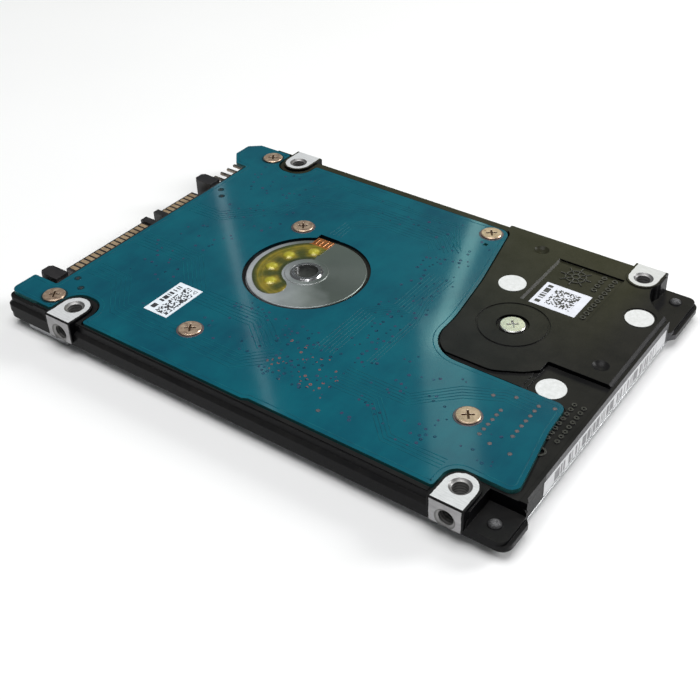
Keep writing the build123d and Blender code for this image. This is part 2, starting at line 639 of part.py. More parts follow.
def actuator_latch():
    """The plastic latch that holds the parked arm against a knock."""
    shape = Polyline((20.2, 19.8), (21.6, 20.4), (25.2, 25.6), (26.6, 25.8), (26.6, 26.8), (24.4, 26.8),
                     (19.4, 22.8), (18.7, 21.4), (20.2, 19.8))
    latch = slab(make_face(shape), 2.4, 3.9)
    return latch - disc(LATCH_PIN, 0.65, 2.0, 4.5)


def latch_pin():
    """The pin of the latch, standing in the bay's roof."""
    return disc(LATCH_PIN, 0.6, 2.2, BAY_ROOF_Z)


def crash_stop(angle):
    """A damped post that ends the arm's swing."""
    return disc(polar(14.0, angle), 0.75, 2.0, BAY_ROOF_Z)


# ---------------------------------------------------------------- every node
def nodes():
    """Every named piece of the drive."""
    lower_beam = ARM_Z[0][1]
    upper_beam = ARM_Z[1][0] - BEAM_T
    return {
        "base_casting": base_casting(),
        "top_cover": top_cover(),
        "cover_gasket": cover_gasket(),
        "cover_screws": gathered([cover_screw(x, y) for x, y in COVER_SCREWS]),
        "cover_label": cover_label(),
        "circuit_board": circuit_board(),
        "controller_chip": chip(6.5, -23.0, 10.0, 10.0, 0.8),
        "memory_chip": chip(-24.0, -20.5, 10.0, 8.0, 0.85),
        "motor_driver_chip": chip(9.0, 17.0, 7.0, 7.0, 0.8),
        "flash_chip": chip(27.0, -24.0, 5.0, 4.0, 0.75),
        "board_passives": board_passives(),
        "thermal_pad": block((2.5, 10.5), (-27.0, -19.0), (POCKET_Z, BOARD_Z - 0.8)),
        "board_screws": gathered([board_screw(x, y) for x, y in BOARD_SCREWS]),
        "connector_housing": connector_housing(),
        "power_contacts": contacts(POWER_Y, 15),
        "signal_contacts": contacts(SIGNAL_Y, 7),
        "jumper_pins": jumper_pins(),
        "board_label": block((-26.5, -21.3), (-24.2, -15.0), (BOARD_TOP, BOARD_TOP + 0.06)),
        "base_label": block((26.8, 35.4), (14.0, 21.2), (RECESS_Z, RECESS_Z + 0.06)),
        "end_label": block((END_X, END_X + 0.06), (-22.0, 21.5), (2.35, 4.95)),
        "foil_seals": gathered([foil_seal(x, y, level) for x, y, level, roof in FOIL_SEALS]),
        "pivot_screw": pivot_screw(),
        "motor_plate": motor_plate(),
        "motor_flex": motor_flex(),
        "stator_core": stator_core(),
        "stator_coils": gathered([stator_coil(i) for i in range(POLES)]),
        "bearing_sleeve": bearing_sleeve(),
        "thrust_plate": disc(SPINDLE, 2.1, 5.7, 6.05),
        "spindle_shaft": spindle_shaft(),
        "spindle_hub": spindle_hub(),
        "rotor_magnet": ring(SPINDLE, 9.0, 9.9, 2.9, 4.65),
        "platter": ring(SPINDLE, DISC_BORE_R, DISC_R, *DISC_Z),
        "disc_clamp": disc_clamp(),
        "clamp_screw": clamp_screw(),
        "pivot_shaft": disc(PIVOT, PIVOT_SHAFT_R, 0.7, BAY_ROOF_Z) - disc(PIVOT, 1.0, 3.7, BAY_ROOF_Z),
        "pivot_bearings": gathered([
            ring(PIVOT, PIVOT_SHAFT_R + BEARING_GAP, 3.2, low, low + 1.3) for low in (0.95, 4.2)
        ]),
        "pivot_sleeve": ring(PIVOT, 3.2, 3.7, 0.9, 5.6),
        "head_arms": head_arms(),
        "voice_coil": voice_coil(),
        "coil_frame": coil_frame(),
        "load_beams": gathered([load_beam(lower_beam), load_beam(upper_beam)]),
        "head_sliders": gathered([head_slider(lower_beam + BEAM_T), head_slider(upper_beam - SLIDER_T)]),
        "arm_flex": arm_flex(),
        "preamp_chip": preamp_chip(),
        "flex_loop": flex_loop(),
        "flex_bracket": flex_bracket(),
        "flex_connector": block((32.5, 39.5), (-12.9, -8.7), (3.6, ROOF_Z)),
        "parking_ramp": parking_ramp(),
        "ramp_screw": ramp_screw(),
        "actuator_latch": actuator_latch(),
        "latch_pin": latch_pin(),
        "lower_yoke": yoke(0.55, 1.3),
        "upper_yoke": yoke(5.1, BAY_ROOF_Z),
        "coil_magnets": gathered([magnet(1.3, 2.3), magnet(4.1, 5.1)]),
        "yoke_posts": gathered([disc(spot, 0.9, 1.3, 5.1) for spot in YOKE_POSTS]),
        "crash_stops": gathered([crash_stop(angle) for angle in (2.4, 95.3)]),
        "recirculation_filter": block((8.6, 14.0), (29.6, 32.2), (COVER_TOP_Z + 0.4, ROOF_Z)),
        "breather_filter": disc((40.7, -4.1), 2.6, 3.4, ROOF_Z),
        "desiccant_pack": block((41.0, 46.8), (-25.0, -12.0), (2.4, ROOF_Z)),
    }


os.makedirs("parts", exist_ok=True)
for name, shape in nodes().items():
    export_step(shape, f"parts/{name}.step")
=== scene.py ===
"""Looks of the slim hard disk drive: materials, board detail, markings, floor, light and camera."""
import json
import random
from math import cos, pi, radians, sin

import bmesh
import bpy
from mathutils import Matrix, Vector


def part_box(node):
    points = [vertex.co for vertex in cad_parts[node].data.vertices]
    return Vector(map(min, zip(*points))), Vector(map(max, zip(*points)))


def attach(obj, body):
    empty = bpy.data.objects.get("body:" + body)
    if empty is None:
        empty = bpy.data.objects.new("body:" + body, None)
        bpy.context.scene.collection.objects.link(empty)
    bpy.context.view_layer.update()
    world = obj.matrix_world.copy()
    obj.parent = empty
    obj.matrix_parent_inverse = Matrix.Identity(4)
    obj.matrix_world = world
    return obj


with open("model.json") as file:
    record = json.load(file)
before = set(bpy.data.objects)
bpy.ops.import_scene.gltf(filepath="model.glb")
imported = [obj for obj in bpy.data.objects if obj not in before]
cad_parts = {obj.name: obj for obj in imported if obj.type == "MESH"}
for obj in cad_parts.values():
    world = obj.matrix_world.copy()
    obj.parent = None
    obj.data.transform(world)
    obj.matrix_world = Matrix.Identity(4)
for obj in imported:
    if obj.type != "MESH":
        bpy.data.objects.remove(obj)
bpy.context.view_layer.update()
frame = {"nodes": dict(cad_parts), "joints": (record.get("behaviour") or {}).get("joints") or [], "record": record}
nodes = frame["nodes"]
mounts = {m["name"]: m for m in frame["record"]["mounts"]}
joints = {j["name"]: j for j in frame["joints"]}

MM = 0.001
SEED = 7

# Places worked out from the frame, in millimetres.
SPINDLE = Vector(joints["spindle_spin"]["pos_m"]) / MM
HOLES = Vector(mounts["bottom_screws"]["pos_m"]) / MM
HOLE_DX = mounts["bottom_screws"]["dims"]["spacing_x_mm"] / 2
HOLE_Y = mounts["bottom_screws"]["dims"]["spacing_y_mm"] / 2
SIDE_HOLE_Z = mounts["side_screws_near"]["pos_m"][2] / MM
HALF_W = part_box("base_casting")[1].y / MM
TOP_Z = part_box("base_casting")[1].z / MM
BOARD_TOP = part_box("circuit_board")[1].z / MM
PLATE_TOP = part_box("motor_flex")[0].z / MM
RECESS_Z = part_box("base_label")[0].z / MM
SHELF_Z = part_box("foil_seals")[0].z / MM
BOSS_XS = (HOLES.x - HOLE_DX, HOLES.x + HOLE_DX)
BARE_HALF = 2.62  # half width of the milled flats
BORE_R = 1.8  # reach of the bare metal round each tapped hole
THREAD_PITCH = 0.5
MARK_H = 0.16  # height of the cast marks
SUNK = 0.02  # how far raised detail starts below its surface
WEAVE = 0.42  # spacing of the glass cloth's threads
CONTACT_X = -39.0  # left of here the board's rings are under the mask
RING_PADS = ((-42.6, -24.1), (-39.9, -25.9), (-42.4, 13.9), (-40.6, 12.0))
WHEEL = (30.2, 25.3)
FLOOR_SIZE = 3.0
END_FACE_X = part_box("end_label")[0].x / MM


def centre_of(node):
    """The middle of a CAD node's box, in millimetres."""
    low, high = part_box(node)
    return (low + high) / 2 / MM


def islands(node):
    """The centre of each separate solid of a node, in millimetres."""
    mesh = bmesh.new()
    mesh.from_mesh(nodes[node].data)
    bmesh.ops.remove_doubles(mesh, verts=mesh.verts, dist=1e-6)
    left = set(mesh.verts)
    centres = []
    while left:
        heap = [left.pop()]
        found = []
        while heap:
            vert = heap.pop()
            found.append(vert.co.copy())
            for edge in vert.link_edges:
                other = edge.other_vert(vert)
                if other in left:
                    left.remove(other)
                    heap.append(other)
        low = Vector(min(co[i] for co in found) for i in range(3))
        high = Vector(max(co[i] for co in found) for i in range(3))
        centres.append((low + high) / 2 / MM)
    mesh.free()
    return centres


CORNER = max(islands("cover_screws"), key=lambda spot: spot.x)


# ---------------------------------------------------------------- material graphs
class Look:
    """One procedural material, built on a Principled shader in millimetre coordinates."""

    def __init__(self, name, colour, roughness, metallic=0.0, **constants):
        self.material = bpy.data.materials.new(name)
        self.material.use_nodes = True
        self.tree = self.material.node_tree
        self.tree.nodes.clear()
        self.shader = self.add("ShaderNodeBsdfPrincipled")
        output = self.add("ShaderNodeOutputMaterial")
        self.tree.links.new(self.shader.outputs["BSDF"], output.inputs["Surface"])
        self.shader.inputs["Base Color"].default_value = (*colour, 1)
        self.shader.inputs["Roughness"].default_value = roughness
        self.shader.inputs["Metallic"].default_value = metallic
        for key, value in constants.items():
            self.shader.inputs[key.replace("_", " ")].default_value = value
        coordinates = self.add("ShaderNodeTexCoord").outputs["Object"]
        self.mm = self.vector("SCALE", coordinates, Scale=1 / MM)
        split = self.add("ShaderNodeSeparateXYZ")
        self.put(split.inputs[0], self.mm)
        self.x, self.y, self.z = split.outputs

    def add(self, kind, **settings):
        node = self.tree.nodes.new(kind)
        for key, value in settings.items():
            setattr(node, key, value)
        return node

    def put(self, socket, value):
        """Links an output to a socket, or sets the socket to a value."""
        if isinstance(value, bpy.types.NodeSocket):
            self.tree.links.new(value, socket)
        else:
            socket.default_value = value

    def math(self, operation, first, second=0.0, third=None, clamp=False):
        node = self.add("ShaderNodeMath", operation=operation, use_clamp=clamp)
        self.put(node.inputs[0], first)
        self.put(node.inputs[1], second)
        if third is not None:
            self.put(node.inputs[2], third)
        return node.outputs[0]

    def vector(self, operation, first, second=None, **named):
        node = self.add("ShaderNodeVectorMath", operation=operation)
        self.put(node.inputs[0], first)
        if second is not None:
            self.put(node.inputs[1], second)
        for key, value in named.items():
            self.put(node.inputs[key], value)
        return node.outputs["Value" if operation in ("LENGTH", "DISTANCE", "DOT_PRODUCT") else "Vector"]

    def point(self, x, y, z=0.0):
        node = self.add("ShaderNodeCombineXYZ")
        for socket, value in zip(node.inputs, (x, y, z)):
            self.put(socket, value)
        return node.outputs[0]

    def noise(self, scale, detail=3.0, roughness=0.55, at=None, distortion=0.0):
        node = self.add("ShaderNodeTexNoise")
        self.put(node.inputs["Vector"], self.mm if at is None else at)
        node.inputs["Scale"].default_value = scale
        node.inputs["Detail"].default_value = detail
        node.inputs["Roughness"].default_value = roughness
        node.inputs["Distortion"].default_value = distortion
        return node.outputs["Fac"]

    def cells(self, scale, feature="F1", at=None, output="Distance"):
        node = self.add("ShaderNodeTexVoronoi", feature=feature)
        self.put(node.inputs["Vector"], self.mm if at is None else at)
        node.inputs["Scale"].default_value = scale
        return node.outputs[output]

    def white(self, at):
        node = self.add("ShaderNodeTexWhiteNoise")
        self.put(node.inputs["Vector"], at)
        return node.outputs["Value"]

    def fit(self, value, low, high, new_low=0.0, new_high=1.0):
        """A value moved from one span to another, clamped."""
        node = self.add("ShaderNodeMapRange")
        for socket, number in zip(node.inputs, (value, low, high, new_low, new_high)):
            self.put(socket, number)
        return node.outputs[0]

    def mix(self, share, first, second):
        node = self.add("ShaderNodeMix", data_type="RGBA")
        self.put(node.inputs[0], share)
        for socket, colour in zip((node.inputs[6], node.inputs[7]), (first, second)):
            self.put(socket, (*colour, 1) if isinstance(colour, tuple) else colour)
        return node.outputs[2]

    def over(self, value, edge):
        return self.math("GREATER_THAN", value, edge)

    def under(self, value, edge):
        return self.math("LESS_THAN", value, edge)

    def both(self, first, second):
        return self.math("MULTIPLY", first, second)

    def either(self, first, second):
        return self.math("MAXIMUM", first, second)

    def within(self, value, low, high):
        return self.both(self.over(value, low), self.under(value, high))

    def box(self, x0, x1, y0, y1):
        return self.both(self.within(self.x, x0, x1), self.within(self.y, y0, y1))

    def radius(self, centre):
        """Distance from an upright axis."""
        dx = self.math("SUBTRACT", self.x, centre[0])
        dy = self.math("SUBTRACT", self.y, centre[1])
        return self.vector("LENGTH", self.point(dx, dy))

    def edges(self, size):
        """1 on sharp edges and 0 on flats, with the rounded normal beside it."""
        bevel = self.add("ShaderNodeBevel", samples=4)
        bevel.inputs["Radius"].default_value = size * MM
        flat = self.add("ShaderNodeNewGeometry").outputs["Normal"]
        facing = self.vector("DOT_PRODUCT", bevel.outputs[0], flat)
        return self.fit(facing, 0.995, 0.8), bevel.outputs[0]

    def bump(self, height, distance, strength=1.0, normal=None):
        """distance is the depth of the relief in millimetres."""
        node = self.add("ShaderNodeBump")
        node.inputs["Strength"].default_value = strength
        node.inputs["Distance"].default_value = distance * MM
        self.put(node.inputs["Height"], height)
        if normal is not None:
            self.put(node.inputs["Normal"], normal)
        self.put(self.shader.inputs["Normal"], node.outputs[0])
        return node.outputs[0]

    def colour(self, value):
        self.put(self.shader.inputs["Base Color"], value)

    def rough(self, value):
        self.put(self.shader.inputs["Roughness"], value)

    def metal(self, value):
        self.put(self.shader.inputs["Metallic"], value)


def casting_look():
    """Black coated die casting, bare and milled on the screw bosses."""
    look = Look("black_casting", (0.012, 0.012, 0.013), 0.36, Specular_IOR_Level=0.10)
    size_y = look.math("ABSOLUTE", look.y)
    from_left = look.math("ABSOLUTE", look.math("SUBTRACT", look.x, BOSS_XS[0]))
    from_right = look.math("ABSOLUTE", look.math("SUBTRACT", look.x, BOSS_XS[1]))
    from_hole = look.math("MINIMUM", from_left, from_right)
    inward = look.math("MAXIMUM", look.math("SUBTRACT", HOLE_Y, size_y), 0.0)
    flat = look.vector("LENGTH", look.point(from_hole, look.math("SUBTRACT", size_y, HOLE_Y)))
    round_end = look.vector("LENGTH", look.point(from_hole, inward))
    sideways = look.vector("LENGTH", look.point(from_hole, look.math("SUBTRACT", look.z, SIDE_HOLE_Z)))
    # Only the milled flats are bare: the coat still wraps round the rim of each boss.
    ragged = look.math("ADD", BARE_HALF, look.fit(look.noise(1.2, 3), 0.3, 0.7, -0.06, 0.06))
    top_flat = look.both(look.over(look.z, TOP_Z - 0.012), look.math("LESS_THAN", round_end, ragged))
    side_flat = look.both(look.over(size_y, HALF_W - 0.012), look.math("LESS_THAN", from_hole, ragged))
    side_flat = look.both(side_flat, look.over(look.z, SIDE_HOLE_Z - 1.35))
    in_hole = look.both(look.under(flat, BORE_R), look.within(look.z, 3.8, TOP_Z - 0.01))
    in_side = look.both(look.under(sideways, BORE_R), look.within(size_y, HALF_W - 3.0, HALF_W - 0.01))
    bore = look.either(in_hole, in_side)
    bare = look.either(look.either(top_flat, side_flat), bore)
    grain = look.noise(4.5, 4, 0.6)
    patches = look.noise(0.22, 4, 0.6)
    edge, rounded = look.edges(0.12)
    worn = look.both(edge, look.fit(look.noise(1.6, 4, 0.7), 0.40, 0.70))
    black = look.mix(look.fit(patches, 0.35, 0.7), (0.010, 0.010, 0.0105), (0.017, 0.0165, 0.016))
    # The far half of the coat is painted with an olive tint, a painted reflection.
    olive = look.mix(look.fit(patches, 0.3, 0.7), (0.026, 0.026, 0.013), (0.036, 0.036, 0.021))
    far_reflection_share = look.both(look.fit(look.y, 2.0, 34.0, 0.0, 0.9), look.fit(look.x, 44.5, 40.0))
    black = look.mix(far_reflection_share, black, olive)
    # Painted highlight: a light grey spot is painted on the casting round the corner screw.
    aside = look.math("SUBTRACT", size_y, abs(CORNER.y))
    from_corner = look.point(look.math("SUBTRACT", look.x, CORNER.x), aside)
    dimple_highlight = look.both(look.fit(look.vector("LENGTH", from_corner), 1.1, 0.5), look.fit(grain, 0.3, 0.6))
    black = look.mix(dimple_highlight, black, (0.16, 0.16, 0.165))
    black = look.mix(look.math("MULTIPLY", worn, 0.3), black, (0.10, 0.10, 0.105))
    # The far end is trimmed after casting, and its thin coat shows grey.
    facing = look.add("ShaderNodeSeparateXYZ")
    look.put(facing.inputs[0], look.add("ShaderNodeNewGeometry").outputs["Normal"])
    # Painted shade: faces that don't face up are painted a darker black than the top.
    black = look.mix(look.under(facing.outputs[2], 0.6), black, (0.0015, 0.0015, 0.002))
    trimmed = look.both(look.over(look.x, END_FACE_X - 0.03), look.over(facing.outputs[0], 0.6))
    trimmed = look.both(trimmed, look.within(look.y, -21.5, 24.0))
    grey = look.mix(look.fit(look.noise(2.5, 4, 0.7), 0.35, 0.65), (0.07, 0.07, 0.075), (0.14, 0.14, 0.145))
    black = look.mix(trimmed, black, grey)
    milling = look.noise(1.3, 4, 0.6, at=look.vector("MULTIPLY", look.mm, (0.5, 9.0, 1.0)))
    metal = look.mix(look.fit(milling, 0.3, 0.7), (0.58, 0.59, 0.60), (0.84, 0.85, 0.86))
    # Painted shade: the milled flats on the sides of the bosses are painted darker than the flats on top.
    shaded_side_metal = look.mix(look.fit(milling, 0.3, 0.7), (0.34, 0.335, 0.34), (0.47, 0.465, 0.47))
    metal = look.mix(look.over(size_y, HALF_W - 0.012), metal, shaded_side_metal)
    # Painted shade: the bare metal inside the tapped holes is painted darker than the flats, with painted light
    # and shade in bands along the thread.
    along = look.math("ADD", look.both(in_hole, look.z), look.both(in_side, size_y))
    thread = look.math("SINE", look.math("MULTIPLY", along, 2 * pi / THREAD_PITCH))
    bore_metal = look.mix(look.fit(thread, -0.6, 0.8), (0.20, 0.197, 0.195), (0.34, 0.335, 0.33))
    look.colour(look.mix(bare, black, look.mix(bore, metal, bore_metal)))
    look.metal(look.math("ADD", look.math("MULTIPLY", bare, 0.3), look.math("MULTIPLY", bore, 0.3)))
    coated = look.fit(grain, 0.3, 0.7, 0.26, 0.40)
    machined = look.fit(milling, 0.3, 0.7, 0.30, 0.5)
    look.rough(look.math("ADD", coated, look.both(look.math("SUBTRACT", machined, coated), bare)))
    relief = look.both(grain, look.math("SUBTRACT", 1.0, look.math("MULTIPLY", bare, 0.8)))
    relief = look.math("ADD", relief, look.both(bore, look.math("MULTIPLY", thread, 1.1)))
    look.bump(relief, 0.02, 0.5, rounded)
    return look.material


def board_look():
    """Teal solder mask over copper, with raw edges."""
    look = Look("circuit_board", (0.0, 0.07, 0.11), 0.40,
                Coat_Weight=0.6, Coat_Roughness=0.075, Specular_IOR_Level=0.08)
    copper = look.noise(0.09, 5, 0.6)
    streaks = look.noise(0.5, 4, 0.6, at=look.vector("MULTIPLY", look.mm, (1.0, 0.25, 1.0)))
    teal = look.mix(look.fit(copper, 0.35, 0.65), (0.0004, 0.062, 0.098), (0.0008, 0.094, 0.130))
    teal = look.mix(look.fit(streaks, 0.45, 0.75, 0.0, 0.35), teal, (0.001, 0.115, 0.146))
    # The weave of the glass cloth shows faintly through the mask.
    warp = look.math("SINE", look.math("MULTIPLY", look.x, 2 * pi / WEAVE))
    weft = look.math("SINE", look.math("MULTIPLY", look.y, 2 * pi / WEAVE))
    weave = look.math("MULTIPLY", warp, weft)
    teal = look.mix(look.fit(weave, -1, 1, 0.0, 0.10), teal, (0.002, 0.12, 0.16))
    side = look.both(look.under(look.z, BOARD_TOP - 0.02), look.over(look.z, BOARD_TOP - 0.78))
    raw = look.mix(look.noise(7, 2), (0.010, 0.085, 0.095), (0.035, 0.14, 0.13))
    # The wall of the motor opening is in its own shadow.
    raw = look.mix(look.under(look.radius(SPINDLE), 14.5), raw, (0.001, 0.010, 0.016))
    look.colour(look.mix(side, teal, raw))
    look.rough(look.fit(look.noise(1.4, 4, 0.6), 0.3, 0.7, 0.28, 0.38))
    height = look.math("ADD", look.noise(3.0, 3), look.math("MULTIPLY", weave, 0.12))
    _, rounded = look.edges(0.08)
    look.bump(height, 0.006, 0.4, rounded)
    return look.material


def mask_line_look():
    """Tracks and covered vias: the same mask, thinner and lighter over copper."""
    look = Look("mask_over_copper", (0.004, 0.125, 0.165), 0.45, Coat_Weight=0.3, Coat_Roughness=0.4,
                Specular_IOR_Level=0.08)
    tone = look.noise(0.4, 3)
    look.colour(look.mix(look.fit(tone, 0.35, 0.65), (0.0004, 0.062, 0.094), (0.001, 0.104, 0.134)))
    look.bump(look.noise(6, 2), 0.004, 0.4)
    return look.material


def via_look():
    """Tented vias: most under the mask, some purple, a few bare copper."""
    look = Look("tented_via", (0.05, 0.05, 0.10), 0.4, Specular_IOR_Level=0.2)
    tone = look.white(look.vector("FLOOR", look.vector("SCALE", look.mm, Scale=1.3)))
    cool = look.mix(look.fit(tone, 0.15, 0.5), (0.002, 0.016, 0.048), (0.010, 0.060, 0.115))
    warm = look.mix(look.fit(tone, 0.45, 0.8), cool, (0.050, 0.030, 0.090))
    bare = look.both(look.over(tone, 0.72), look.box(0.0, 13.0, -27.0, -17.0))
    look.colour(look.mix(bare, warm, (0.24, 0.085, 0.070)))
    look.bump(look.noise(9, 2), 0.006, 0.4)
    return look.material


def metal_look(name, dark, light, roughness, brush=(1.0, 1.0, 1.0), scale=2.0, depth=0.01, bevel=0.05,
               metallic=1.0):
    """A bare or plated metal with a directed grain, small dents and edges painted bright, a painted highlight."""
    look = Look(name, light, roughness, metallic)
    grain = look.noise(scale, 5, 0.65, at=look.vector("MULTIPLY", look.mm, brush))
    blotch = look.noise(0.35, 3)
    tone = look.math("MULTIPLY", look.math("ADD", grain, blotch), 0.5)
    edge, rounded = look.edges(bevel)
    body = look.mix(look.fit(tone, 0.35, 0.65), dark, light)
    # Painted highlight: the edges are painted brighter than the body.
    bright = tuple(min(1.0, part * 1.25) for part in light)
    look.colour(look.mix(look.math("MULTIPLY", edge, 0.5), body, bright))
    look.rough(look.fit(grain, 0.3, 0.7, roughness * 0.75, roughness * 1.3))
    look.bump(grain, depth, 0.5, rounded)
    return look.material


def gold_screw_look():
    """Passivated gold screws, turned on top, with painted highlights on the edges and painted shade low on the
    head.
    """
    look = Look("gold_screw", (0.72, 0.46, 0.24), 0.3, 0.75)
    tone = look.noise(1.1, 4, 0.6)
    edge, rounded = look.edges(0.09)
    gold = look.mix(look.fit(tone, 0.3, 0.7), (0.44, 0.29, 0.21), (0.76, 0.58, 0.42))
    # Painted highlight: the edges are painted near white.
    gold = look.mix(look.math("MULTIPLY", edge, 0.8), gold, (1.0, 0.86, 0.70))
    # Painted shade: the head is painted dark from just above the board's top to 0.2 mm above it.
    recess_shade = look.under(look.z, BOARD_TOP + 0.2)
    gold = look.mix(look.both(recess_shade, look.over(look.z, BOARD_TOP + 0.01)), gold, (0.10, 0.055, 0.03))
    look.colour(gold)
    look.rough(look.fit(tone, 0.3, 0.7, 0.24, 0.42))
    look.bump(look.noise(5, 4), 0.012, 0.6, rounded)
    return look.material


def turned_tangent(look):
    """Stretches highlights round the spindle, as lathe rings do."""
    around = look.vector("NORMALIZE", look.vector("CROSS_PRODUCT", (0.0, 0.0, 1.0), look.point(
        look.math("SUBTRACT", look.x, SPINDLE.x), look.math("SUBTRACT", look.y, SPINDLE.y))))
    look.put(look.shader.inputs["Tangent"], around)


def motor_look():
    """Turned aluminium: fine rings round the spindle and a satin sheen."""
    look = Look("motor_aluminium", (0.55, 0.56, 0.56), 0.3, 0.7, Anisotropic=0.6)
    far = look.radius(SPINDLE)
    rings = look.noise(6.5, 3, 0.7, at=look.point(far, 0.0, 0.0))
    edge, rounded = look.edges(0.08)
    grey = look.mix(look.fit(rings, 0.3, 0.7), (0.48, 0.505, 0.525), (0.60, 0.625, 0.65))
    grey = look.mix(look.fit(look.noise(0.25, 3), 0.4, 0.65, 0.0, 0.5), grey, (0.70, 0.725, 0.75))
    # The far right of the plate is painted a dark green-grey, a painted shade.
    across = look.math("ADD", look.math("SUBTRACT", look.x, SPINDLE.x), look.math("MULTIPLY", look.y, 0.9))
    painted_dark_side = look.fit(look.math("ADD", across, look.fit(look.noise(0.16, 3), 0.3, 0.7, -2.0, 2.0)), -9.0, 4.0)
    grey = look.mix(look.math("MULTIPLY", painted_dark_side, 0.9), grey, (0.10, 0.125, 0.105))
    # Painted highlight: the edges are painted near white.
    look.colour(look.mix(look.math("MULTIPLY", edge, 0.6), grey, (0.95, 0.95, 0.95)))
    look.rough(look.fit(rings, 0.3, 0.7, 0.30, 0.42))
    turned_tangent(look)
    look.bump(rings, 0.006, 0.4, rounded)
    return look.material


def flex_look():
    """Amber film over copper, glossy and soft, green where it thins at its rim."""
    look = Look("polyimide_flex", (0.4, 0.34, 0.02), 0.30, 0.2, Coat_Weight=0.6, Coat_Roughness=0.22)
    far = look.radius(SPINDLE)
    wave = look.noise(0.32, 2)
    amber = look.mix(look.fit(wave, 0.35, 0.65), (0.13, 0.125, 0.004), (0.27, 0.20, 0.010))
    tracks = look.math("SINE", look.math("MULTIPLY", far, 2 * pi / 0.85))
    amber = look.mix(look.fit(tracks, 0.2, 0.9, 0.0, 0.18), amber, (0.52, 0.36, 0.03))
    # Painted highlight: the raised tops of the bumps are painted a lighter yellow.
    amber = look.mix(look.fit(look.z, PLATE_TOP + 0.10, PLATE_TOP + 0.30), amber, (0.46, 0.41, 0.03))
    rim = look.either(look.fit(far, 5.5, 4.8), look.fit(far, 8.7, 9.4))
    amber = look.mix(look.math("MULTIPLY", rim, 0.9), amber, (0.014, 0.030, 0.003))
    dx = look.math("SUBTRACT", look.x, SPINDLE.x)
    angle = look.math("ARCTAN2", look.math("SUBTRACT", look.y, SPINDLE.y), dx)
    swell = look.math("COSINE", look.math("MULTIPLY", look.math("SUBTRACT", angle, radians(116)), 9.0))
    # Painted shade: the film between the bumps is painted dark green.
    between = look.both(look.fit(swell, 0.3, -0.8), look.fit(far, 8.9, 6.9))
    amber = look.mix(look.math("MULTIPLY", between, 0.85), amber, (0.032, 0.046, 0.003))
    fingers = look.box(-15.8, -10.4, 7.9, 10.6)
    amber = look.mix(look.math("MULTIPLY", fingers, 0.8), amber, (0.36, 0.10, 0.012))
    look.colour(amber)
    _, rounded = look.edges(0.14)
    height = look.math("ADD", look.math("MULTIPLY", swell, 0.6), look.noise(0.9, 2))
    look.bump(look.math("ADD", height, look.math("MULTIPLY", tracks, 0.1)), 0.14, 0.8, rounded)
    return look.material


def plastic_look(name, dark, light, roughness, scale=6.0, depth=0.012):
    """Moulded plastic with a fine spark-eroded skin."""
    look = Look(name, light, roughness)
    skin = look.noise(scale, 4, 0.65)
    _, rounded = look.edges(0.09)
    look.colour(look.mix(look.fit(look.noise(0.5, 3), 0.35, 0.65), dark, light))
    look.rough(look.fit(skin, 0.3, 0.7, roughness * 0.85, roughness * 1.2))
    look.bump(skin, depth, 0.6, rounded)
    return look.material


def label_look(name, paper, cell, code, bars=False):
    """A printed label: a field of generic dots or bars that spells nothing."""
    look = Look(name, paper, 0.45, Coat_Weight=0.25, Coat_Roughness=0.25)
    tint = look.mix(look.fit(look.noise(0.7, 3), 0.4, 0.6), paper, tuple(part * 0.93 for part in paper))
    first, second = (look.y, look.z) if bars else (look.x, look.y)
    u = look.math("FLOOR", look.math("DIVIDE", first, cell))
    v = 0.0 if bars else look.math("FLOOR", look.math("DIVIDE", second, cell))
    dots = look.over(look.white(look.point(u, v, 0.5)), 0.47)
    stripes = look.over(look.white(look.point(0.0, v, 0.5)), 0.47)
    ink = 0.0
    for i, (x0, x1, y0, y1) in enumerate(code):
        field = look.both(look.within(first, x0, x1), look.within(second, y0, y1))
        ink = look.either(ink, look.both(field, stripes if i else dots))
    ink = look.both(ink, look.fit(look.noise(12, 2), 0.25, 0.35))
    look.colour(look.mix(ink, tint, (0.15, 0.15, 0.16) if bars else (0.03, 0.03, 0.035)))
    look.rough(look.fit(look.noise(5, 3), 0.3, 0.7, 0.38, 0.5))
    look.bump(look.noise(1.2, 4), 0.01, 0.5)
    return look.material


def foil_look():
    """White-silver foil disc with a soft crinkle."""
    look = Look("foil", (0.86, 0.87, 0.88), 0.45, 0.25)
    crinkle = look.noise(1.5, 5, 0.7)
    look.colour(look.mix(look.fit(crinkle, 0.35, 0.65), (0.74, 0.75, 0.76), (0.86, 0.87, 0.88)))
    look.rough(look.fit(crinkle, 0.3, 0.7, 0.38, 0.55))
    look.bump(crinkle, 0.03, 0.6)
    return look.material


def cover_look():
    """Stamped cover with a long brushed grain and faint rub marks."""
    look = Look("stamped_cover", (0.5, 0.51, 0.52), 0.35, 1.0, Anisotropic=0.3)
    grain = look.noise(2.2, 5, 0.7, at=look.vector("MULTIPLY", look.mm, (0.06, 3.0, 1.0)))
    rubs = look.noise(0.12, 5, 0.7)
    edge, rounded = look.edges(0.14)
    steel = look.mix(look.fit(grain, 0.3, 0.7), (0.44, 0.45, 0.46), (0.60, 0.61, 0.62))
    # Painted highlight: the edges are painted lighter than the sheet.
    look.colour(look.mix(look.math("MULTIPLY", edge, 0.5), steel, (0.8, 0.81, 0.82)))
    look.rough(look.fit(rubs, 0.35, 0.65, 0.31, 0.37))
    look.bump(grain, 0.008, 0.5, rounded)
    return look.material


